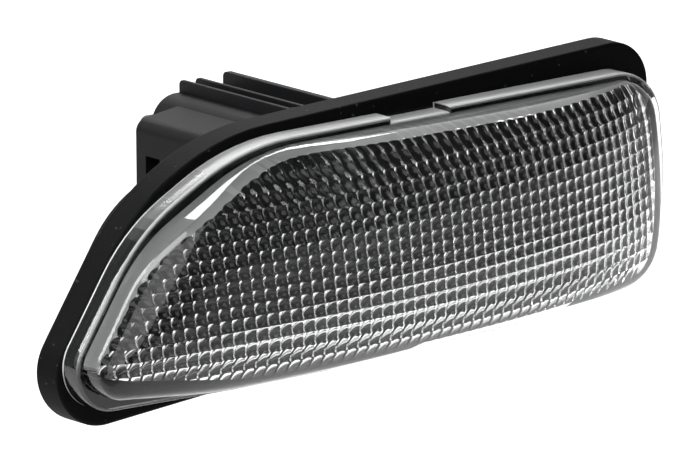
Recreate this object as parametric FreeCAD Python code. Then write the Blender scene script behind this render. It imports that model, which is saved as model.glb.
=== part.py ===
import FreeCAD, Part
import math
import os
from FreeCAD import Vector

os.makedirs("parts", exist_ok=True)

# Vehicle indicator lamp, millimetres. X to the right seen from the front, Y to the rear into the
# vehicle body, Z up. Y = 0 is the rear face of the gasket, which seats on the body panel.

# Lens flange: corners of its outline (x, z), clockwise from the low left tip, and their radii.
# Its sides in order: left slant, upper left, top, right, lower right, bottom, lower left.
FLANGE = [(-65.5, -16.75), (-45.5, 10.1), (-25.0, 20.0), (56.8, 17.0), (57.0, -1.5),
          (52.9, -18.4), (-12.0, -20.1)]
FLANGE_R = [6.9, 33.0, 40.0, 8.5, 40.0, 8.5, 400.0]
# Foot of the dome on the flange, same order
DOME = [(-61.9, -13.6), (-45.9, 7.9), (-23.3, 18.8), (55.9, 15.9), (56.1, -1.4),
        (52.2, -17.6), (-36.0, -17.45)]
DOME_R = [4.7, 31.0, 38.0, 7.5, 39.0, 7.5, 60.0]
# Gasket, its lower left side in one with the bottom, its upper right corner wider than the flange
SEAL = [(-69.2, -21.6), (-43.1, 13.2), (-25.5, 21.2), (58.2, 21.2), (57.9, 13.0), (56.0, 9.5),
        (55.7, 1.5), (52.0, -16.6)]
SEAL_R = [8.5, 40.0, 40.0, 7.0, 2.0, 6.0, 40.0, 7.0]

GASKET_T = 6.5          # gasket thickness
GASKET_ROUND = 0.6
RIM_T = 2.0             # housing rim behind the lens flange
LIP_FRONT = -9.3        # lip on the rim, inside the lens's side wall
LIP_T = 1.2
LIP_PLAY = 0.15
FLANGE_T = 4.4          # lens flange thickness
WALL = 2.6              # lens wall in front of the optic
SKIRT = [1.4, 2.0, 1.6, 2.0, 2.0, 2.0, 3.2]     # side wall of the dome, for each side
SHOULDER = 2.4          # rounding of the dome shoulder
FLANGE_ROUND = 0.5      # rounding of the flange's front edge
NOTCH_X = (4.0, 15.2)   # notch in the top edge of the flange
NOTCH_FROM = 14.0       # height inside the dome's wall from which the notch goes up

# Dome form: set-back of the face behind its foremost point
APEX_X = 3.0
APEX_Z = -0.5
APEX_Y = -23.3          # foremost point of the optic face
BOW_LEFT = (3.80e-3, -3.5e-7)
BOW_RIGHT = (2.70e-3, 8.7e-7)
CROWN = 8.5e-5
CROWN_FADE = 0.8        # the crown flattens towards the right end
CROWN_RUN = 60.0
TWIST = 3.9e-4          # the left half leans back at its top
TWIST_Z = -2.0
ROLL = 2.2              # the face rolls back along the left side
ROLL_W = 4.5

PITCH = 2.0             # optic cell
CELL_H = 0.62           # height of a cell's point over its edges
OPTIC_BACK = 20.0       # rear of the block that the optic is cut with

# Housing, insets from the flange edge for each side
RIM_IN = [0.5, 0.5, 0.5, 2.4, 2.4, 2.6, 1.6]
TRAY_IN = [11.5, 8.0, 4.6, 6.6, 6.6, 4.6, 4.6]
GASKET_IN = [11.5, 8.0, 4.6, 4.4, 4.4, 4.6, 4.6]    # the hook passes through it at the right
HOOK_IN = [20.0, 20.0, 9.0, 4.8, 4.8, 12.0, 12.0]
HOOK_Y = (1.6, 4.0)     # hook at the right end, behind the panel edge
HOOK_FROM = 46.0
TRAY_WALL = 1.8
TRAY_BACK = 14.0        # inner face of the tray's back
BACK_T = 2.0

# Bulb holder
HOLDER_D = 13.1
HOLDER_FRONT = 26.0
HOLDER_PLAY = 0.2       # round the holder in the tower
LUG_OUT = 1.1           # locking lugs past the bore
LUG_W = 4.0
LUG_FROM = 41.0
SLOT_PLAY = 0.2
RING_W = 1.15           # holder seal
SEAL_T = 1.5
GRIP_LIP = 0.3
GRIP_T = 2.0
GRIP_D = HOLDER_D + 2 * (RING_W + GRIP_LIP)
BORE = HOLDER_D + 2 * HOLDER_PLAY
UNDERCUT = BORE + 2 * LUG_OUT
SHROUD = (13.0, 9.6)
SHROUD_ROUND = 1.5
SOCKET = (10.4, 7.0)
SHROUD_END = 54.0
SOCKET_FLOOR = 43.5

# Rear body
REAR_AT = (4.9, 4.6)    # axis of the bulb tower (x, z)
REAR_TURN = 4.5         # the rear body stands upright, the lens follows the body line
TOWER_WALL = 1.95
TOWER = UNDERCUT / 2 + TOWER_WALL   # half width of the tower
TOWER_R = 5.0
TOWER_END = 46.0
EDGE_ROUND = 0.4
BLOCK = [(-16.2, -7.0), (-16.2, 7.3), (-8.0, 8.7), (-6.0, 8.7), (-6.0, -7.0)]
BLOCK_ROUND = 2.2
BLOCK_END = 41.0
WINDOW_Y = (34.0, 38.0)
WINDOW_Z = (-4.0, 1.9)
WINDOW_DEEP = 3.0
RIBS = [(-3.7, 0.8, 2.05), (-0.5, 0.8, 2.05), (5.2, 1.3, 2.45)]     # across, thickness, height
RIB_FROM = 15.0
RIB_ROUND = 0.9
RIB_EDGE = 0.2
WEB_T = 1.6
WEB_LOW = 0.3
COLLAR = 3.0
UNDERCUT_FROM = 20.0

# Contacts and bulb
STRIP_W = 2.8
STRIP_T = 0.5
STRIP_A = 2.5
STRIP_FRONT = 0.6       # behind the holder's front
BLADE_SHORT = 2.5       # blade end inside the shroud
BARB_Y = (37.0, 39.0)
BARB_OUT = 0.4
GLASS_D = 10.2
GLASS_T = 0.6
BULB_TIP = 5.2
BULB_END = 31.8
NECK = 23.0
NECK_T = 2.0
NECK_ROUND = 1.6
WEDGE = (9.5, 2.1)
POCKET_PLAY = 0.8
WIRE_D = 0.36
WIRE_FOLD = 27.6        # front end of the folded wire
FILAMENT_Y = 13.3
FILAMENT_D = 0.6

FLANGE_BACK = -GASKET_T
FLANGE_FRONT = FLANGE_BACK - FLANGE_T


def export(name, shape):
    shape = shape.removeSplitter() if name != "lens" else shape
    shape.exportStep("parts/%s.step" % name)


def drawn_in(corners, radii, insets):
    """Corners and radii of a closed outline moved inward by one inset for each side."""
    n = len(corners)
    lines = []
    for i in range(n):
        ax, az = corners[i]
        bx, bz = corners[(i + 1) % n]
        length = math.hypot(bx - ax, bz - az)
        dx, dz = (bx - ax) / length, (bz - az) / length
        lines.append((ax + insets[i] * dz, az - insets[i] * dx, dx, dz))
    out, rad = [], []
    for i in range(n):
        px, pz, pdx, pdz = lines[i - 1]
        qx, qz, qdx, qdz = lines[i]
        det = pdx * qdz - pdz * qdx
        t = ((qx - px) * qdz - (qz - pz) * qdx) / det
        out.append((px + t * pdx, pz + t * pdz))
        rad.append(max(radii[i] - max(insets[i - 1], insets[i]), 1.0))
    return out, rad


def outline_wire(corners, radii, y):
    """A wire of lines and tangent arcs round the corners, in the plane Y = y."""
    n = len(corners)
    marks = []
    for i in range(n):
        vx, vz = corners[i]
        ax, az = corners[i - 1]
        bx, bz = corners[(i + 1) % n]
        la, lb = math.hypot(vx - ax, vz - az), math.hypot(bx - vx, bz - vz)
        ux, uz = (vx - ax) / la, (vz - az) / la
        wx, wz = (bx - vx) / lb, (bz - vz) / lb
        turn = math.acos(max(-1.0, min(1.0, ux * wx + uz * wz)))
        reach = radii[i] * math.tan(turn / 2)
        mx, mz = wx - ux, wz - uz
        lm = math.hypot(mx, mz)
        far = radii[i] / math.cos(turn / 2) - radii[i]
        first = Vector(vx - reach * ux, y, vz - reach * uz)
        last = Vector(vx + reach * wx, y, vz + reach * wz)
        middle = Vector(vx + far * mx / lm, y, vz + far * mz / lm)
        marks.append((first, middle, last))
    edges = []
    for i in range(n):
        first, middle, last = marks[i]
        edges.append(Part.Arc(first, middle, last).toShape())
        follow = marks[(i + 1) % n][0]
        if last.distanceToPoint(follow) > 1e-4:
            edges.append(Part.makeLine(last, follow))
    return Part.Wire(edges)


def slab(corners, radii, y0, y1):
    face = Part.Face(outline_wire(corners, radii, y0))
    return face.extrude(Vector(0, y1 - y0, 0))


def flange_slab(insets, y0, y1):
    corners, radii = drawn_in(FLANGE, FLANGE_R, insets)
    return slab(corners, radii, y0, y1)


def face_y(x, z):
    """Y of the optic face's grid of cell edges."""
    run = x - APEX_X
    square, fourth = BOW_LEFT if run < 0 else BOW_RIGHT
    crown = CROWN * (z - APEX_Z) ** 4
    lean = 0.0
    if run < 0:
        lean = TWIST * (-run) ** 1.5 * (z - TWIST_Z)
    else:
        crown *= 1 - CROWN_FADE * (run / CROWN_RUN) ** 2
    (ax, az), (bx, bz) = DOME[0], DOME[1]
    inside = ((x - ax) * (bz - az) - (z - az) * (bx - ax)) / math.hypot(bx - ax, bz - az)
    share = inside / ROLL_W
    roll = 0.0
    if share < 0:
        roll = ROLL * (1 - 2 * share)
    elif share < 1:
        roll = ROLL * (1 - share) ** 2
    return APEX_Y + square * run ** 2 + fourth * run ** 4 + crown + lean + roll


def box(a0, a1, y0, y1, b0, b1):
    """A block in the rear body's own frame: across, to the rear, up from the tower's axis."""
    return Part.makeBox(a1 - a0, y1 - y0, b1 - b0, Vector(a0, y0, b0))


def rod(d, y0, y1, a=0.0, b=0.0):
    return Part.makeCylinder(d / 2, y1 - y0, Vector(a, y0, b), Vector(0, 1, 0))


def placed(shape):
    """From the rear body's own frame to the lamp's."""
    moved = shape.copy()
    moved.rotate(Vector(0, 0, 0), Vector(0, 1, 0), REAR_TURN)
    moved.translate(Vector(REAR_AT[0], 0, REAR_AT[1]))
    return moved


def edges_along_y(shape, test):
    found = []
    for edge in shape.Edges:
        if len(edge.Vertexes) == 2:
            p, q = edge.Vertexes[0].Point, edge.Vertexes[1].Point
            along = abs(p.x - q.x) < 1e-6 and abs(p.z - q.z) < 1e-6
            if along and test(p):
                found.append(edge)
    return found


def edges_at_y(shape, y):
    return [e for e in shape.Edges if abs(e.BoundBox.YMin - y) < 1e-6 and abs(e.BoundBox.YMax - y) < 1e-6]


def make_lens():
    """Clear lens: planar flange, pillow dome and a square-cell optic on its inner face."""
    xs = [-75.0 + 3.0 * i for i in range(50)]
    zs = [-24.0 + 2.4 * i for i in range(21)]
    points = [[Vector(x, face_y(x, z) - WALL, z) for z in zs] for x in xs]
    skin = Part.BSplineSurface()
    skin.interpolate(points)
    body = skin.toShape().extrude(Vector(0, 90, 0))
    dome = body.common(slab(DOME, DOME_R, -60.0, FLANGE_BACK))
    rim = []
    for face in dome.Faces:
        if isinstance(face.Surface, Part.BSplineSurface) and face.Area > 2000:
            rim = face.Edges
    dome = dome.makeFillet(SHOULDER, rim)
    flange = slab(FLANGE, FLANGE_R, FLANGE_FRONT, FLANGE_BACK)
    flange = flange.makeFillet(FLANGE_ROUND, edges_at_y(flange, FLANGE_FRONT))
    notch = Part.makeBox(NOTCH_X[1] - NOTCH_X[0], 4 * FLANGE_T, NOTCH_FROM,
                         Vector(NOTCH_X[0], -4 * FLANGE_T, NOTCH_FROM))
    flange = flange.cut(notch)
    solid = dome.fuse(flange).removeSplitter()
    corners, radii = drawn_in(DOME, DOME_R, SKIRT)
    hollow = slab(corners, radii, -60.0, 5.0).common(optic_block())
    return solid.cut(hollow)


def optic_block():
    """A block whose front is the optic: a square grid of four-sided points standing inward."""
    i0, i1, j0, j1 = -33, 30, -11, 10
    nx, nz = i1 - i0, j1 - j0
    points, facets = [], []

    def at(i, j, rise):
        x, z = PITCH * (i + 0.5), PITCH * (j + 0.5)
        return (x, min(face_y(x, z), FLANGE_BACK) + rise, z)

    def add(p):
        points.append(Vector(*p))
        return len(points) - 1

    node = [[add(at(i0 + i, j0 + j, 0.0)) for j in range(nz + 1)] for i in range(nx + 1)]
    rear = {}
    for i in range(nx):
        for j in range(nz):
            tip = add(at(i0 + i + 0.5, j0 + j + 0.5, CELL_H))
            ring = [node[i][j], node[i + 1][j], node[i + 1][j + 1], node[i][j + 1]]
            for k in range(4):
                facets.append((ring[k], ring[(k + 1) % 4], tip))
    border = [(i, 0) for i in range(nx)] + [(nx, j) for j in range(nz)]
    border += [(i, nz) for i in range(nx, 0, -1)] + [(0, j) for j in range(nz, 0, -1)]
    for i, j in border:
        x, y, z = at(i0 + i, j0 + j, 0.0)
        rear[(i, j)] = add((x, OPTIC_BACK, z))
    centre = add((PITCH * (i0 + i1 + 1) / 2, OPTIC_BACK, PITCH * (j0 + j1 + 1) / 2))
    for k in range(len(border)):
        a, b = border[k], border[(k + 1) % len(border)]
        na, nb = node[a[0]][a[1]], node[b[0]][b[1]]
        facets.append((nb, na, rear[a]))
        facets.append((nb, rear[a], rear[b]))
        facets.append((rear[b], rear[a], centre))
    shell = Part.Shape()
    shell.makeShapeFromMesh((points, facets), 1e-4)
    solid = Part.Solid(shell.Shells[0])
    if solid.Volume < 0:
        solid.reverse()
    return solid


def make_gasket():
    ring = slab(SEAL, SEAL_R, -GASKET_T, 0.0)
    ring = ring.makeFillet(GASKET_ROUND, edges_at_y(ring, -GASKET_T) + edges_at_y(ring, 0.0))
    ring = ring.cut(flange_slab(GASKET_IN, -3 * GASKET_T, GASKET_T))
    ring = ring.cut(flange_slab(RIM_IN, -3 * GASKET_T, RIM_T - GASKET_T))
    return ring


def make_rib(across, thick, height):
    top = TOWER + height
    rib = box(across - thick / 2, across + thick / 2, RIB_FROM, TOWER_END, TOWER - 1.0, top)
    far = [e for e in edges_at_y(rib, TOWER_END) if e.BoundBox.ZMin > top - 0.01]
    rib = rib.makeFillet(RIB_ROUND, far)
    return rib.makeFillet(RIB_EDGE, edges_along_y(rib, lambda p: p.z > top - 0.01))


def make_housing():
    """Moulded housing: rim, tray, rear block with its window, bulb tower and three ribs."""
    back = TRAY_BACK + BACK_T
    body = flange_slab(RIM_IN, FLANGE_BACK, FLANGE_BACK + RIM_T)
    body = body.fuse(flange_slab(TRAY_IN, FLANGE_BACK, back))
    rear = box(-TOWER, TOWER, TRAY_BACK, TOWER_END, -TOWER, TOWER)
    rear = rear.makeFillet(TOWER_R, edges_along_y(rear, lambda p: True))
    rear = rear.makeFillet(EDGE_ROUND, edges_at_y(rear, TOWER_END))
    left = BLOCK[0][0]
    wire = Part.makePolygon([Vector(a, TRAY_BACK, b) for a, b in BLOCK + BLOCK[:1]])
    block = Part.Face(wire).extrude(Vector(0, BLOCK_END - TRAY_BACK, 0))
    block = block.makeFillet(BLOCK_ROUND, edges_along_y(block, lambda p: p.x < left + 0.1))
    block = block.makeFillet(EDGE_ROUND, edges_at_y(block, BLOCK_END))
    rear = rear.fuse(block)
    for across, thick, height in RIBS:
        rear = rear.fuse(make_rib(across, thick, height))
    web = box(RIBS[0][0], RIBS[1][0], RIB_FROM, RIB_FROM + WEB_T, TOWER - 1.0, TOWER + RIBS[0][2] - WEB_LOW)
    rear = rear.fuse(web)
    rear = rear.cut(box(left - 1, left + WINDOW_DEEP, WINDOW_Y[0], WINDOW_Y[1], WINDOW_Z[0], WINDOW_Z[1]))
    body = body.fuse(placed(rear))
    inner = [d + TRAY_WALL for d in TRAY_IN]
    hollow = flange_slab(inner, FLANGE_BACK - 1, TRAY_BACK)
    body = body.cut(hollow)
    corners, radii = drawn_in(DOME, DOME_R, [d + LIP_PLAY for d in SKIRT])
    lip = slab(corners, radii, LIP_FRONT, FLANGE_BACK + RIM_T)
    corners, radii = drawn_in(DOME, DOME_R, [d + LIP_PLAY + LIP_T for d in SKIRT])
    lip = lip.cut(slab(corners, radii, LIP_FRONT - 1, FLANGE_BACK + RIM_T + 1))
    body = body.fuse(lip)
    bore = rod(BORE, TRAY_BACK - 1, TOWER_END + 1)
    bore = bore.fuse(rod(UNDERCUT, UNDERCUT_FROM, TOWER_END - COLLAR))
    slot = LUG_W / 2 + SLOT_PLAY
    bore = bore.fuse(box(-UNDERCUT / 2, UNDERCUT / 2, LUG_FROM - 1, TOWER_END + 1, -slot, slot))
    body = body.cut(placed(bore))
    # hook at the right end that goes behind the panel edge
    hook = flange_slab(HOOK_IN, HOOK_Y[0], HOOK_Y[1])
    hook = hook.common(Part.makeBox(20.0, 20.0, 40.0, Vector(HOOK_FROM, -5.0, -20.0)))
    body = body.fuse(hook.cut(hollow))
    return body.removeSplitter()


def strip(side):
    """Contact strip: blade in the connector socket, spring face on the bulb's folded wire."""
    inner = WEDGE[1] / 2 + WIRE_D
    half = STRIP_W / 2
    a = -side * STRIP_A
    b0, b1 = sorted((side * inner, side * (inner + STRIP_T)))
    end = SHROUD_END - BLADE_SHORT
    bar = box(a - half, a + half, HOLDER_FRONT + STRIP_FRONT, end, b0, b1)
    tip = [e for e in edges_at_y(bar, end) if e.BoundBox.XLength > 1]
    bar = bar.makeChamfer(0.4 * STRIP_T, tip)
    barb = box(a - half - BARB_OUT, a + half + BARB_OUT, BARB_Y[0], BARB_Y[1], b0, b1)
    return bar.fuse(barb).removeSplitter()


def wire_path(side):
    """Lead wire: straight from the filament through the pinch, folded over its end."""
    a = -side * STRIP_A
    lift = side * (WEDGE[1] / 2 + WIRE_D / 2)
    end = BULB_END + WIRE_D / 2
    shape = rod(WIRE_D, FILAMENT_Y - FILAMENT_D / 2, end, a, 0.0)
    shape = shape.fuse(rod(WIRE_D, WIRE_FOLD, end, a, lift))
    cross = Part.makeCylinder(WIRE_D / 2, abs(lift), Vector(a, end, 0), Vector(0, 0, side))
    shape = shape.fuse(cross)
    for b in (0.0, lift):
        shape = shape.fuse(Part.makeSphere(WIRE_D / 2, Vector(a, end, b)))
    return shape.removeSplitter()


def make_bulb():
    r = GLASS_D / 2
    outer = rod(GLASS_D, BULB_TIP + r, NECK)
    outer = outer.fuse(Part.makeSphere(r, Vector(0, BULB_TIP + r, 0)))
    inner = rod(GLASS_D - 2 * GLASS_T, BULB_TIP + r, NECK - NECK_T)
    inner = inner.fuse(Part.makeSphere(r - GLASS_T, Vector(0, BULB_TIP + r, 0)))
    glass = outer.cut(inner).removeSplitter()
    shoulder = [e for e in glass.Edges if abs(e.BoundBox.YMin - NECK) < 1e-3]
    glass = glass.makeFillet(NECK_ROUND, shoulder)
    w, t = WEDGE
    glass = glass.fuse(box(-w / 2, w / 2, NECK - NECK_T / 2, BULB_END, -t / 2, t / 2)).removeSplitter()
    wires = [wire_path(1), wire_path(-1)]
    filament = Part.makeCylinder(FILAMENT_D / 2, 2 * STRIP_A, Vector(-STRIP_A, FILAMENT_Y, 0), Vector(1, 0, 0))
    for wire in wires:
        glass = glass.cut(wire)
        filament = filament.cut(wire)
    return glass, filament, wires


def make_holder():
    grip_at = TOWER_END + SEAL_T
    body = rod(HOLDER_D, HOLDER_FRONT, grip_at)
    body = body.fuse(rod(GRIP_D, grip_at, grip_at + GRIP_T))
    out = UNDERCUT / 2 - HOLDER_PLAY
    lug = box(-LUG_W / 2, LUG_W / 2, LUG_FROM, TOWER_END - COLLAR, -out, out)
    body = body.fuse(lug.common(rod(2 * out, LUG_FROM - 1, TOWER_END)))
    w, h = SHROUD
    shroud = box(-w / 2, w / 2, grip_at, SHROUD_END, -h / 2, h / 2)
    shroud = shroud.makeFillet(SHROUD_ROUND, edges_along_y(shroud, lambda p: True))
    body = body.fuse(shroud)
    w, h = SOCKET
    body = body.cut(box(-w / 2, w / 2, SOCKET_FLOOR, SHROUD_END + 1, -h / 2, h / 2))
    w, t = WEDGE
    deep = BULB_END + POCKET_PLAY
    body = body.cut(box(-w / 2, w / 2, HOLDER_FRONT - 1, deep, -t / 2, t / 2))
    start = t / 2 - 0.15
    for side in (1, -1):
        a = -side * STRIP_A
        b0, b1 = sorted((side * start, side * (t / 2 + WIRE_D + 0.01)))
        body = body.cut(box(a - POCKET_PLAY, a + POCKET_PLAY, HOLDER_FRONT - 1, deep, b0, b1))
        body = body.cut(strip(side))
        b0, b1 = sorted((side * start, side * (t / 2 + WIRE_D + STRIP_T)))
        half = STRIP_W / 2
        body = body.cut(box(a - half, a + half, HOLDER_FRONT - 1, HOLDER_FRONT + STRIP_FRONT + 0.01, b0, b1))
    return body.removeSplitter()


def make_holder_seal():
    ring = rod(HOLDER_D + 2 * RING_W, TOWER_END, TOWER_END + SEAL_T)
    return ring.cut(rod(HOLDER_D, TOWER_END - 1, TOWER_END + SEAL_T + 1))


export("lens", make_lens())
export("gasket", make_gasket())
export("housing", make_housing())
bulb_glass, bulb_filament, bulb_wires = make_bulb()
export("bulb_glass", placed(bulb_glass))
export("filament", placed(bulb_filament))
export("lead_wire_upper", placed(bulb_wires[0]))
export("lead_wire_lower", placed(bulb_wires[1]))
export("bulb_holder", placed(make_holder()))
export("holder_seal", placed(make_holder_seal()))
export("contact_upper", placed(strip(1)))
export("contact_lower", placed(strip(-1)))
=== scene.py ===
import math

import bmesh
import bpy
from mathutils import Matrix, Vector


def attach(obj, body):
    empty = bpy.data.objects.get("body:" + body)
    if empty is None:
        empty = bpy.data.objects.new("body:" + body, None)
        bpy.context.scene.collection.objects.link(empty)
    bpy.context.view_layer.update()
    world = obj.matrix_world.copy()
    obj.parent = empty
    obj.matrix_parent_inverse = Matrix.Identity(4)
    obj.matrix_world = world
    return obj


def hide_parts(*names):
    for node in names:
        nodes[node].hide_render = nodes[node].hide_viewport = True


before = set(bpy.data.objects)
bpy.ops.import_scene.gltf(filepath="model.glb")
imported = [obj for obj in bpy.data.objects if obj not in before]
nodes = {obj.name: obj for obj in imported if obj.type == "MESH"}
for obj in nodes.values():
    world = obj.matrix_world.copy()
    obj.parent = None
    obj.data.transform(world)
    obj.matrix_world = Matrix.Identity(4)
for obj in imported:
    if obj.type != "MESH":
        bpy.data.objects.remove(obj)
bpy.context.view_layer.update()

# Lens form in millimetres, as in the solids: outlines clockwise from the low left tip, with radii
MM = 0.001
FLANGE = [(-65.5, -16.75), (-45.5, 10.1), (-25.0, 20.0), (56.8, 17.0), (57.0, -1.5),
          (52.9, -18.4), (-12.0, -20.1)]
FLANGE_R = [6.9, 33.0, 40.0, 8.5, 40.0, 8.5, 400.0]
DOME = [(-61.9, -13.6), (-45.9, 7.9), (-23.3, 18.8), (55.9, 15.9), (56.1, -1.4),
        (52.2, -17.6), (-36.0, -17.45)]
DOME_R = [4.7, 31.0, 38.0, 7.5, 39.0, 7.5, 60.0]
SKIRT = [1.4, 2.0, 1.6, 2.0, 2.0, 2.0, 3.2]     # side wall of the dome, for each side
SHELF_W = [0.3, 0.3, 0.3, 1.1, 1.1, 0.6, 0.3]   # shelf between the optic's edge and that wall
SHELF_Y = -9.45             # just in front of the housing's lip
WELD_IN = [0.6, 0.9, 1.4, 1.5, 1.5, 1.5, 1.0]   # weld seam, in from the flange's edge
FLANGE_FRONT = -10.9
FLANGE_BACK = -6.5
FLANGE_ROUND = 0.5          # rounding of the flange's front edge
BACK_ROUND = 0.15           # rounding of its rear edge
EDGE_LINE = 0.45            # dulled line along the rear edge
RIGHT_LIP = 0.9             # lip at the right end, with a slant behind it
RIGHT_BEVEL = 1.3
RIGHT_TURN = (0.3, 0.8)     # the slant grows as the side turns to the right
NOTCH_X = (4.0, 15.2)       # notch in the top edge of the flange
NOTCH_REST = 0.25           # height of the flange left over the dome there
WALL = 2.6                  # lens wall in front of the optic
SHOULDER = 1.2              # rounding of the dome's shoulder
SHOULDER_STEPS = 6
DOME_SHEET = (64.0, 24.0)   # half sizes of the sheet that the dome is cut from
DOME_FACES = (96, 40)

# Optic face: foremost point, bow and crown, and the left half that leans and rolls back
APEX_X = 3.0
APEX_Y = -23.3
APEX_Z = -0.5
BOW_LEFT = (3.80e-3, -3.5e-7)
BOW_RIGHT = (2.70e-3, 8.7e-7)
CROWN = 8.5e-5
CROWN_FADE = 0.8            # the crown flattens towards the right end
CROWN_RUN = 60.0
TWIST = 3.9e-4
TWIST_Z = -2.0
TWIST_POWER = 1.5
ROLL = 2.2
ROLL_W = 4.5
PITCH = 2.0                 # optic cell
PILLOW_R = 1.7              # radius of a cell's pillow
CELLS = (62, 20)
CELL_FACES = 6              # faces along a cell
CELL_CLEAR = 0.05           # least depth of the side wall behind a cell

# Finish of the lens's faces: frost from 0, polished, to 1, dulled, and black from 0 to 1, where 1 is the weld
# to the housing's rim and part black is painted shade on the optic's side wall
POLISHED = 0.02
EDGE_FROST = 0.9
TOP_FROST = 0.5
TOP_FACING = (0.75, 1.0)
BEVEL_FROST = 0.1
BEVEL_TOP = 0.8
WALL_FROST = 0.6
# painted shade: share of black on the optic's side wall, standing in for shade from the housing's rim close
# behind it
WALL_PAINTED_SHADE = 0.5
WALL_FACING = (0.0, 0.5)
RIGHT_FACING = 0.25

# Mesh fineness: degrees of arc to an edge, lengths in millimetres
FINE_TURN = 4.0
TURN = 6.0
TINY = 1e-4
CUT_DIST = 1e-5
MERGE_DIST = 2e-4
SMOOTH_TO = 33.0


def face_y(x, z):
    """Y of the optic's cell edges: a long bow, a crown, a leaning left half and a rolled left side."""
    run = x - APEX_X
    square, fourth = BOW_LEFT if run < 0 else BOW_RIGHT
    crown = CROWN * (z - APEX_Z) ** 4
    lean = TWIST * max(-run, 0.0) ** TWIST_POWER * (z - TWIST_Z)
    if run > 0:
        crown *= 1 - CROWN_FADE * (run / CROWN_RUN) ** 2
    (ax, az), (bx, bz) = DOME[0], DOME[1]
    share = ((x - ax) * (bz - az) - (z - az) * (bx - ax)) / math.hypot(bx - ax, bz - az) / ROLL_W
    roll = ROLL * (1 - 2 * share) if share < 0 else ROLL * (1 - min(share, 1.0)) ** 2
    return APEX_Y + square * run ** 2 + fourth * run ** 4 + crown + lean + roll


def fade(value, start, full):
    """0 up to start, rising evenly to 1 at full."""
    return min(max((value - start) / (full - start), 0.0), 1.0)


def drawn_in(corners, radii, insets):
    """Corners and radii of an outline moved inward by one inset for each side."""
    n = len(corners)
    lines = []
    for i in range(n):
        (ax, az), (bx, bz) = corners[i], corners[(i + 1) % n]
        length = math.hypot(bx - ax, bz - az)
        dx, dz = (bx - ax) / length, (bz - az) / length
        lines.append((ax + insets[i] * dz, az - insets[i] * dx, dx, dz))
    moved, rounds = [], []
    for i in range(n):
        px, pz, pdx, pdz = lines[i - 1]
        qx, qz, qdx, qdz = lines[i]
        t = ((qx - px) * qdz - (qz - pz) * qdx) / (pdx * qdz - pdz * qdx)
        moved.append((px + t * pdx, pz + t * pdz))
        rounds.append(max(radii[i] - max(insets[i - 1], insets[i]), 1.0))
    return moved, rounds


def outline(corners, radii, step):
    """Points round the outline, with the outward direction at each."""
    n = len(corners)
    path = []
    for i in range(n):
        v, a, b = Vector(corners[i]), Vector(corners[i - 1]), Vector(corners[(i + 1) % n])
        u, w = (v - a).normalized(), (b - v).normalized()
        turn = u.angle(w)
        out = Vector((-u.y, u.x))
        centre = v - u * radii[i] * math.tan(turn / 2) - out * radii[i]
        count = max(2, math.ceil(math.degrees(turn) / step))
        for k in range(count + 1):
            way = Matrix.Rotation(-turn * k / count, 2) @ out
            path.append((centre + way * radii[i], way))
    return path


def outward(path, at):
    """Outward direction of the outline at its point nearest to at, blended along its sides."""
    best, found = math.inf, None
    for i in range(len(path)):
        (p, a), (q, b) = path[i], path[(i + 1) % len(path)]
        side = q - p
        t = 0.0
        if side.length > TINY:
            t = max(0.0, min(1.0, (at - p).dot(side) / side.length_squared))
        gap = (p + side * t - at).length
        if gap < best:
            best, found = gap, a.lerp(b, t).normalized()
    return found


def cut_to(bm, path):
    """Cuts a flat sheet in the XZ plane to the convex outline."""
    n = len(path)
    for i in range(n):
        p, q = path[i][0], path[(i + 1) % n][0]
        if (q - p).length < TINY:
            continue
        way = (q - p).normalized()
        bmesh.ops.bisect_plane(bm, geom=bm.verts[:] + bm.edges[:] + bm.faces[:], dist=CUT_DIST,
                               plane_co=(p.x, 0, p.y), plane_no=(-way.y, 0, way.x), clear_outer=True)


def sheet(halves, faces):
    """A flat upright sheet in the XZ plane."""
    bm = bmesh.new()
    stand = Matrix.Rotation(math.pi / 2, 4, "X") @ Matrix.Diagonal((*halves, 1, 1))
    bmesh.ops.create_grid(bm, x_segments=faces[0], y_segments=faces[1], size=1.0, matrix=stand)
    return bm


def pulled(bm, place):
    """Extrudes the open edge of a sheet and puts each new vertex where place says."""
    rim = [e for e in bm.edges if e.is_boundary]
    new = bmesh.ops.extrude_edge_only(bm, edges=rim)["geom"]
    for v in [g for g in new if isinstance(g, bmesh.types.BMVert)]:
        v.co = place(v.co)


def spot_key(at):
    """A vertex's place, rounded so that it is found again."""
    return round(at.x, 3), round(at.y, 3)


def dome_skin():
    """Outside of the dome, its rounded shoulder and its wall down to the flange."""
    bm = sheet(DOME_SHEET, DOME_FACES)
    inner = outline(*drawn_in(DOME, DOME_R, [SHOULDER] * len(DOME)), FINE_TURN)
    cut_to(bm, inner)
    for v in bm.verts:
        v.co.y = min(face_y(v.co.x, v.co.z) - WALL, FLANGE_FRONT)
    ways = {}
    for v in bm.verts:
        if v.is_boundary:
            at = Vector((v.co.x, v.co.z))
            ways[spot_key(at)] = outward(inner, at)
    reach = 0.0
    for k in range(1, SHOULDER_STEPS + 1):
        turn = math.pi / 2 * k / SHOULDER_STEPS
        far = SHOULDER * math.sin(turn)
        drop = SHOULDER * (1 - math.cos(turn))

        def place(co):
            at = Vector((co.x, co.z))
            way = ways[spot_key(at)]
            new = at + way * (far - reach)
            ways[spot_key(new)] = way
            y = min(face_y(new.x, new.y) - WALL + drop, FLANGE_FRONT)
            return Vector((new.x, y, new.y))

        pulled(bm, place)
        reach = far
    pulled(bm, lambda co: Vector((co.x, FLANGE_FRONT, co.z)))
    return bm


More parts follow.
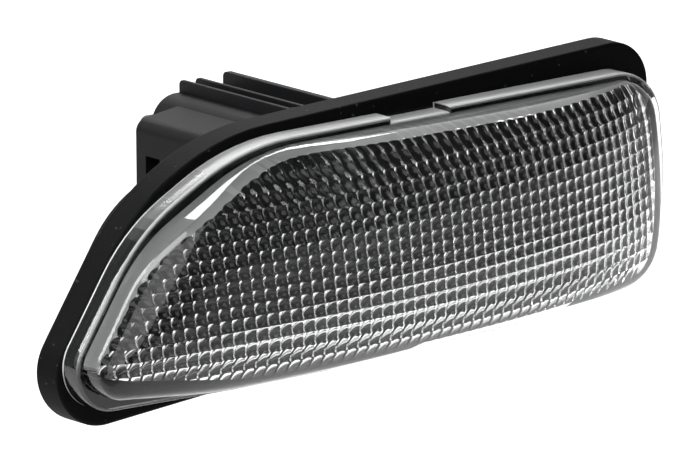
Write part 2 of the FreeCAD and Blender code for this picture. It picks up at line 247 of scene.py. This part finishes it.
def optic_skin():
    """Inside of the lens: square pillow cells standing inward, and the side wall down to its shelf."""
    bm = sheet([n * PITCH / 2 for n in CELLS], [n * CELL_FACES for n in CELLS])
    insets = [wall + shelf for wall, shelf in zip(SKIRT, SHELF_W)]
    cut_to(bm, outline(*drawn_in(DOME, DOME_R, insets), TURN))
    foot = math.sqrt(PILLOW_R ** 2 - PITCH ** 2 / 2)
    for v in bm.verts:
        dx = (v.co.x / PITCH + 0.5) % 1.0 - 0.5
        dz = (v.co.z / PITCH + 0.5) % 1.0 - 0.5
        swell = math.sqrt(PILLOW_R ** 2 - PITCH ** 2 * (dx * dx + dz * dz)) - foot
        v.co.y = min(face_y(v.co.x, v.co.z) + swell, SHELF_Y - CELL_CLEAR)
    pulled(bm, lambda co: Vector((co.x, SHELF_Y, co.z)))
    return bm


def top_side(corners, x):
    """Height of an outline's top side at x."""
    (ax, az), (bx, bz) = corners[2], corners[3]
    return az + (bz - az) * (x - ax) / (bx - ax)


def flange_path():
    """The flange's edge with the notch in its top side."""
    path = [p for p, way in outline(FLANGE, FLANGE_R, FINE_TURN)]
    start, end = NOTCH_X
    notch = [Vector((start, top_side(FLANGE, start))), Vector((start, top_side(DOME, start) + NOTCH_REST)),
             Vector((end, top_side(DOME, end) + NOTCH_REST)), Vector((end, top_side(FLANGE, end)))]
    before = max(i for i, p in enumerate(path) if p.y > 0 and p.x < start)
    return path[:before + 1] + notch + path[before + 1:]


def open_loop(bm, y):
    """Open edges at the depth y."""
    return [e for e in bm.edges if e.is_boundary and all(abs(v.co.y - y) < TINY for v in e.verts)]


def loop_at(bm, path, y):
    """A closed loop of edges along the path."""
    ring = bmesh.ops.create_circle(bm, segments=len(path), radius=1.0)["verts"]
    for v, p in zip(ring, path):
        v.co = Vector((p.x, y, p.y))
    return list(dict.fromkeys(e for v in ring for e in v.link_edges))


def drawn_back(bm, loop, y):
    """Extrudes a loop to the depth y; gives the new faces and the new loop."""
    new = bmesh.ops.extrude_edge_only(bm, edges=loop)["geom"]
    for v in [g for g in new if isinstance(g, bmesh.types.BMVert)]:
        v.co.y = y
    ends = [g for g in new if isinstance(g, bmesh.types.BMEdge)]
    ends = [e for e in ends if all(abs(v.co.y - y) < TINY for v in e.verts)]
    return [g for g in new if isinstance(g, bmesh.types.BMFace)], ends


def slanted_right(lip, middle, back):
    """Leaves a thin lip at the right end and slants the side behind it, as far as it faces right."""
    way_round = outline(FLANGE, FLANGE_R, FINE_TURN)
    lip_y = FLANGE_FRONT + RIGHT_LIP
    depths = ((lip, lip_y, 0.0), (middle, lip_y + RIGHT_BEVEL, RIGHT_BEVEL), (back, FLANGE_BACK, RIGHT_BEVEL))
    for loop, depth, inset in depths:
        for v in dict.fromkeys(v for e in loop for v in e.verts):
            way = outward(way_round, Vector((v.co.x, v.co.z)))
            share = fade(way.x, *RIGHT_TURN)
            v.co.y += (depth - v.co.y) * share
            v.co.x -= inset * share * way.x
            v.co.z -= inset * share * way.y


def rounded(bm, edges, size):
    """Rounds the edges and gives the new faces."""
    done = bmesh.ops.bevel(bm, geom=[e for e in edges if e.is_valid], offset=size, offset_type="OFFSET",
                           segments=3, profile=0.5, affect="EDGES", material=-1)
    return done["faces"]


def edge_frost(face):
    """The flange's rear edge is dulled all round, but for its right end."""
    return EDGE_FROST if face.normal.x < RIGHT_FACING else POLISHED


def lens_piece():
    """The lens as one closed skin: dome outside, optic inside, flange with rounded edges between."""
    bm = bmesh.new()
    for part in (dome_skin(), optic_skin()):
        keep = bpy.data.meshes.new("lens_part")
        part.to_mesh(keep)
        part.free()
        bm.from_mesh(keep)
        bpy.data.meshes.remove(keep)
    frost = bm.faces.layers.float.new("frost")
    # Black share of each face: 1 for the weld to the housing's rim, and painted shade on the optic's side
    # wall
    weld_and_painted_shade = bm.faces.layers.float.new("weld_and_painted_shade")
    dome_rim = open_loop(bm, FLANGE_FRONT)
    optic_rim = open_loop(bm, SHELF_Y)
    optic_wall = {f for e in optic_rim for f in e.link_faces}
    shelf = loop_at(bm, [p for p, way in outline(*drawn_in(DOME, DOME_R, SKIRT), TURN)], SHELF_Y)
    inner = drawn_back(bm, shelf, FLANGE_BACK)[1]
    front = loop_at(bm, flange_path(), FLANGE_FRONT)
    sides, lip = drawn_back(bm, front, (FLANGE_FRONT + FLANGE_BACK) / 2)
    slope, middle = drawn_back(bm, lip, FLANGE_BACK - EDGE_LINE)
    edge_line, back = drawn_back(bm, middle, FLANGE_BACK)
    slanted_right(lip, middle, back)
    seam = loop_at(bm, [p for p, way in outline(*drawn_in(FLANGE, FLANGE_R, WELD_IN), TURN)], FLANGE_BACK)
    bmesh.ops.triangle_fill(bm, use_beauty=True, edges=front + dome_rim, normal=(0, -1, 0))
    bmesh.ops.triangle_fill(bm, use_beauty=True, edges=back + seam, normal=(0, 1, 0))
    for loops in (seam + inner, shelf + optic_rim):
        welded = bmesh.ops.triangle_fill(bm, use_beauty=True, edges=loops, normal=(0, 1, 0))["geom"]
        for face in [g for g in welded if isinstance(g, bmesh.types.BMFace)]:
            face[weld_and_painted_shade] = 1.0
    bmesh.ops.recalc_face_normals(bm, faces=bm.faces[:])
    for face in sides + slope:
        face[frost] = POLISHED + TOP_FROST * fade(face.normal.z, *TOP_FACING)
    # The optic's side wall, where it faces down, is dulled and painted half black as shade from the housing's
    # rim close behind it
    for face in optic_wall:
        share = fade(-face.normal.z, *WALL_FACING)
        face[frost] = WALL_FROST * share
        face[weld_and_painted_shade] = WALL_PAINTED_SHADE * share
    for face in edge_line:
        face[frost] = edge_frost(face)
    for face in rounded(bm, back, BACK_ROUND):
        face[frost] = edge_frost(face)
    for face in rounded(bm, front, FLANGE_ROUND):
        face[frost] = BEVEL_FROST + BEVEL_TOP * fade(face.normal.z, 0.0, 1.0)
    bmesh.ops.dissolve_degenerate(bm, dist=MERGE_DIST, edges=bm.edges[:])
    for face in bm.faces:
        face.smooth = True
    for edge in bm.edges:
        edge.smooth = len(edge.link_faces) == 2 and edge.calc_face_angle(0.0) < math.radians(SMOOTH_TO)
    bmesh.ops.scale(bm, vec=(MM, MM, MM), verts=bm.verts[:])
    return placed("clear_lens", bm)


def placed(name, bm):
    """Makes an object of the finished shape."""
    mesh = bpy.data.meshes.new(name)
    bm.to_mesh(mesh)
    bm.free()
    piece = bpy.data.objects.new(name, mesh)
    bpy.context.scene.collection.objects.link(piece)
    return piece


def colour(code):
    """sRGB hex to linear RGBA."""
    parts = [int(code[i:i + 2], 16) / 255 for i in (1, 3, 5)]
    linear = [c / 12.92 if c <= 0.04045 else ((c + 0.055) / 1.055) ** 2.4 for c in parts]
    return (*linear, 1.0)


def grain(size):
    """Scale of a pattern whose grains are about this many millimetres across."""
    return 1 / (size * MM)


def feed(tree, node, inputs):
    """Fills a node's inputs, each from a socket or with a plain value."""
    for key, value in inputs.items():
        if isinstance(value, bpy.types.NodeSocket):
            tree.links.new(value, node.inputs[key])
        else:
            node.inputs[key].default_value = value


def add(tree, kind, inputs=None, **settings):
    """One node with its settings and inputs."""
    made = tree.nodes.new(kind)
    for key, value in settings.items():
        setattr(made, key, value)
    feed(tree, made, inputs or {})
    return made


def finish_of(name):
    """A new material, its nodes, its shader and the place on the object that its patterns follow."""
    made = bpy.data.materials.new(name)
    made.use_nodes = True
    tree = made.node_tree
    place = add(tree, "ShaderNodeTexCoord").outputs["Object"]
    return made, tree, tree.nodes["Principled BSDF"], place


# Inputs of a colour mix: the colours at factor 0 and 1, and its colour output
FIRST, SECOND, MIXED = 6, 7, 2

# Polished moulded acrylic: clear and sharp, with faint waves from the mould; satin where the flange and the
# side wall are dulled, black where it is welded to the housing's rim, and half black as painted shade on the
# optic's side wall close in front of that rim
clear_acrylic, tree, shader, place = finish_of("clear_acrylic")
dull = add(tree, "ShaderNodeAttribute", attribute_name="frost").outputs["Fac"]
# Black share: the weld to the housing's rim, and painted shade on the optic's side wall
weld_and_painted_shade_fac = add(tree, "ShaderNodeAttribute", attribute_name="weld_and_painted_shade").outputs["Fac"]
rub = add(tree, "ShaderNodeTexNoise", {"Vector": place, "Scale": grain(1.43), "Detail": 4.0})
worn = add(tree, "ShaderNodeMapRange", {"Value": rub.outputs["Fac"], "From Min": 0.45, "From Max": 0.8,
                                        "To Min": 0.012, "To Max": 0.05})
rough = add(tree, "ShaderNodeMath", {0: dull, 1: 0.7, 2: worn.outputs["Result"]}, operation="MULTIPLY_ADD")
open_face = add(tree, "ShaderNodeMath", {0: 1.0, 1: weld_and_painted_shade_fac}, operation="SUBTRACT")
undulled = add(tree, "ShaderNodeMath", {0: dull, 1: -0.9, 2: 1.0}, operation="MULTIPLY_ADD")
clear = add(tree, "ShaderNodeMath", {0: undulled.outputs[0], 1: open_face.outputs[0]}, operation="MULTIPLY")
shine = add(tree, "ShaderNodeMath", {0: open_face.outputs[0], 1: 0.5}, operation="MULTIPLY")
tint = add(tree, "ShaderNodeMix", {"Factor": weld_and_painted_shade_fac, FIRST: colour("#F9FAFA"), SECOND: colour("#0C0C0D")},
           data_type="RGBA")
wave = add(tree, "ShaderNodeTexNoise", {"Vector": place, "Scale": grain(14.3), "Detail": 1.0})
bump = add(tree, "ShaderNodeBump", {"Height": wave.outputs["Fac"], "Strength": 0.2, "Distance": 0.3 * MM})
feed(tree, shader, {"Base Color": tint.outputs[MIXED], "Roughness": rough.outputs[0],
                    "Transmission Weight": clear.outputs[0], "Specular IOR Level": shine.outputs[0],
                    "Normal": bump.outputs["Normal"], "IOR": 1.49})

# Moulded rubber seal: deep black and dull, with fine grain and a little dust
seal_rubber, tree, shader, place = finish_of("seal_rubber")
dust = add(tree, "ShaderNodeTexNoise", {"Vector": place, "Scale": grain(1.11), "Detail": 1.0})
specks = add(tree, "ShaderNodeMapRange", {"Value": dust.outputs["Fac"], "From Min": 0.72, "From Max": 0.78})
tint = add(tree, "ShaderNodeMix", {"Factor": specks.outputs["Result"], FIRST: colour("#0B0B0C"),
                                   SECOND: colour("#3A3936")}, data_type="RGBA")
skin = add(tree, "ShaderNodeTexNoise", {"Vector": place, "Scale": grain(0.455), "Detail": 3.0})
bump = add(tree, "ShaderNodeBump", {"Height": skin.outputs["Fac"], "Strength": 0.25, "Distance": 0.2 * MM})
feed(tree, shader, {"Base Color": tint.outputs[MIXED], "Roughness": 0.62, "Specular IOR Level": 0.06,
                    "Normal": bump.outputs["Normal"]})

# Moulded ABS housing: near black and satin, with a fine spark-eroded skin, a little greyer where it is rubbed
housing_abs, tree, shader, place = finish_of("housing_abs")
patch = add(tree, "ShaderNodeTexNoise", {"Vector": place, "Scale": grain(8.33), "Detail": 3.0})
tint = add(tree, "ShaderNodeMix", {"Factor": patch.outputs["Fac"], FIRST: colour("#0F0F11"),
                                   SECOND: colour("#17181A")}, data_type="RGBA")
skin = add(tree, "ShaderNodeTexNoise", {"Vector": place, "Scale": grain(0.667), "Detail": 4.0})
bump = add(tree, "ShaderNodeBump", {"Height": skin.outputs["Fac"], "Strength": 0.12, "Distance": 0.2 * MM})
feed(tree, shader, {"Base Color": tint.outputs[MIXED], "Roughness": 0.55, "Specular IOR Level": 0.12,
                    "Normal": bump.outputs["Normal"]})

# Glass-filled nylon of the bulb holder: dark grey and dull, with short pale fibres near the surface
holder_nylon, tree, shader, place = finish_of("holder_nylon")
fibre = add(tree, "ShaderNodeTexNoise", {"Vector": place, "Scale": grain(0.556), "Detail": 2.0})
pale = add(tree, "ShaderNodeMapRange", {"Value": fibre.outputs["Fac"], "From Min": 0.55, "From Max": 0.8})
tint = add(tree, "ShaderNodeMix", {"Factor": pale.outputs["Result"], FIRST: colour("#26272A"),
                                   SECOND: colour("#3B3C40")}, data_type="RGBA")
feed(tree, shader, {"Base Color": tint.outputs[MIXED], "Roughness": 0.55})

# Tinned brass strip: soft grey-gold metal, the tin clouded and thinner in places
tinned_brass, tree, shader, place = finish_of("tinned_brass")
cloud = add(tree, "ShaderNodeTexNoise", {"Vector": place, "Scale": grain(1.67), "Detail": 3.0})
tint = add(tree, "ShaderNodeMix", {"Factor": cloud.outputs["Fac"], FIRST: colour("#C9C2A8"),
                                   SECOND: colour("#C2A76A")}, data_type="RGBA")
feed(tree, shader, {"Base Color": tint.outputs[MIXED], "Metallic": 1.0, "Roughness": 0.34})

# Blown bulb glass: thin and clear with a faint silver-grey coat, denser towards the base
bulb_coat, tree, shader, place = finish_of("bulb_coat")
way = add(tree, "ShaderNodeSeparateXYZ", {"Vector": place})
coat = add(tree, "ShaderNodeMapRange", {"Value": way.outputs["Y"], "From Min": 5 * MM, "From Max": 25 * MM})
tint = add(tree, "ShaderNodeMix", {"Factor": coat.outputs["Result"], FIRST: colour("#E4E6E7"),
                                   SECOND: colour("#A8ABAD")}, data_type="RGBA")
feed(tree, shader, {"Base Color": tint.outputs[MIXED], "Transmission Weight": 0.85, "Roughness": 0.08,
                    "IOR": 1.5})

# Drawn wire: grey metal, darkened in patches by heat
drawn_wire, tree, shader, place = finish_of("drawn_wire")
heat = add(tree, "ShaderNodeTexNoise", {"Vector": place, "Scale": grain(2.0), "Detail": 2.0})
tint = add(tree, "ShaderNodeMix", {"Factor": heat.outputs["Fac"], FIRST: colour("#8E8E90"),
                                   SECOND: colour("#5C5A5A")}, data_type="RGBA")
feed(tree, shader, {"Base Color": tint.outputs[MIXED], "Metallic": 1.0, "Roughness": 0.38})

dress = {"gasket": seal_rubber, "holder_seal": seal_rubber, "housing": housing_abs,
         "bulb_holder": holder_nylon, "contact_upper": tinned_brass, "contact_lower": tinned_brass,
         "bulb_glass": bulb_coat, "filament": drawn_wire, "lead_wire_upper": drawn_wire,
         "lead_wire_lower": drawn_wire}
for name, finish in dress.items():
    nodes[name].data.materials.clear()
    nodes[name].data.materials.append(finish)

lens = lens_piece()
lens.data.materials.append(clear_acrylic)
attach(lens, "root")
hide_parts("lens")

# Camera at the photograph's angle: long lens, lamp seen from its left and a little above
VIEW_TURN = math.radians(-34.3)
VIEW_RISE = math.radians(14.2)
VIEW_ROLL = math.radians(4.2)
VIEW_AIM = (-11.612, 3.527)     # middle of the picture from the optic's front, to the right and up
VIEW_FAR = 2000.0
PIXELS_PER_MM = 6.3
PHOTO_WIDTH = 700
SENSOR = 36.0
right = Vector((math.cos(VIEW_TURN), math.sin(VIEW_TURN), 0))
ahead = Vector((-math.sin(VIEW_TURN), math.cos(VIEW_TURN), 0))
up = math.sin(VIEW_RISE) * ahead + Vector((0, 0, math.cos(VIEW_RISE)))
back = right.cross(up)
spot = (VIEW_AIM[0] * right + VIEW_AIM[1] * up + VIEW_FAR * back + Vector((0, APEX_Y, 0))) * MM
side = math.cos(VIEW_ROLL) * right - math.sin(VIEW_ROLL) * up
top = math.sin(VIEW_ROLL) * right + math.cos(VIEW_ROLL) * up
eye = bpy.data.cameras.new("eye")
eye.sensor_width = SENSOR
eye.lens = SENSOR * PIXELS_PER_MM * VIEW_FAR / PHOTO_WIDTH
eye.clip_end = 20.0
camera = bpy.data.objects.new("eye", eye)
camera.matrix_world = Matrix((
    (side.x, top.x, back.x, spot.x),
    (side.y, top.y, back.y, spot.y),
    (side.z, top.z, back.z, spot.z),
    (0, 0, 0, 1)))
bpy.context.scene.collection.objects.link(camera)
bpy.context.scene.camera = camera

# Plain pale floor below the lamp, in metres; its white part ends to the right and in front of the lamp
FLOOR_HALF = 2.0
FLOOR_Z = -0.08
WHITE_RIGHT = (0.3, 0.24)
WHITE_FRONT = (-0.21, -0.15)
FLOOR_GLOW = 0.95
bm = bmesh.new()
bmesh.ops.create_grid(bm, x_segments=1, y_segments=1, size=FLOOR_HALF,
                      matrix=Matrix.Translation((0, 0, FLOOR_Z)))
floor = placed("floor", bm)
# Matt grey board; its glow for camera, glossy and transmission rays is painted light, white beside and behind
# the lamp and greyer to the right and in front of it
pale_floor, tree, shader, place = finish_of("pale_floor")
beside = add(tree, "ShaderNodeVectorMath", {0: place, 1: right}, operation="DOT_PRODUCT")
beyond = add(tree, "ShaderNodeVectorMath", {0: place, 1: ahead}, operation="DOT_PRODUCT")
near = add(tree, "ShaderNodeMapRange", {"Value": beside.outputs["Value"], "From Min": WHITE_RIGHT[0],
                                        "From Max": WHITE_RIGHT[1]}, interpolation_type="SMOOTHSTEP")
far = add(tree, "ShaderNodeMapRange", {"Value": beyond.outputs["Value"], "From Min": WHITE_FRONT[0],
                                       "From Max": WHITE_FRONT[1]}, interpolation_type="SMOOTHSTEP")
white_glow_share = add(tree, "ShaderNodeMath", {0: near.outputs["Result"], 1: far.outputs["Result"]},
            operation="MULTIPLY")
tint = add(tree, "ShaderNodeMix", {"Factor": white_glow_share.outputs[0], FIRST: colour("#8A8A8A"),
                                   SECOND: colour("#FFFFFF")}, data_type="RGBA")
ray = add(tree, "ShaderNodeLightPath")
seen = add(tree, "ShaderNodeMath", {0: ray.outputs["Is Camera Ray"], 1: ray.outputs["Is Glossy Ray"]},
           operation="MAXIMUM")
seen = add(tree, "ShaderNodeMath", {0: seen.outputs[0], 1: ray.outputs["Is Transmission Ray"]},
           operation="MAXIMUM")
glow = add(tree, "ShaderNodeMath", {0: seen.outputs[0], 1: FLOOR_GLOW}, operation="MULTIPLY")
feed(tree, shader, {"Base Color": colour("#A8A8A8"), "Roughness": 0.9, "Specular IOR Level": 0.1,
                    "Emission Color": tint.outputs[MIXED], "Emission Strength": glow.outputs[0]})
floor.data.materials.append(pale_floor)

# Studio: bright low down behind the lamp, dim above it and in front of the lens
BRIGHT_WAY = (0.5, 0.8, -0.33)
world = bpy.data.worlds.new("studio")
bpy.context.scene.world = world
world.use_nodes = True
tree = world.node_tree
way = add(tree, "ShaderNodeTexCoord")
lit = add(tree, "ShaderNodeVectorMath", {0: way.outputs["Generated"], 1: BRIGHT_WAY}, operation="DOT_PRODUCT")
level = add(tree, "ShaderNodeMapRange", {"Value": lit.outputs["Value"], "From Min": 0.2, "From Max": 0.95,
                                         "To Min": 0.05, "To Max": 1.4}, interpolation_type="SMOOTHSTEP")
feed(tree, tree.nodes["Background"], {"Color": (1, 1, 1, 1), "Strength": level.outputs["Result"]})


def soft_box(name, place, size, power):
    """A rectangular lamp that faces the origin; metres and watts."""
    lamp = bpy.data.lights.new(name, "AREA")
    lamp.shape = "RECTANGLE"
    lamp.size, lamp.size_y = size
    lamp.energy = power
    holder = bpy.data.objects.new(name, lamp)
    holder.location = place
    holder.rotation_euler = (-Vector(place)).to_track_quat("-Z", "Y").to_euler()
    bpy.context.scene.collection.objects.link(holder)


soft_box("top_box", (0.3, 0.65, 0.6), (0.5, 0.15), 2.5)
soft_box("sky_box", (-0.45, 0.15, 0.8), (0.45, 0.45), 4.0)
soft_box("rim_box", (-0.6, 0.5, 0.6), (0.35, 0.35), 4.0)
soft_box("left_box", (-0.45, -0.78, 0.63), (1.0, 1.0), 6.0)

bpy.context.scene.view_settings.view_transform = "Standard"
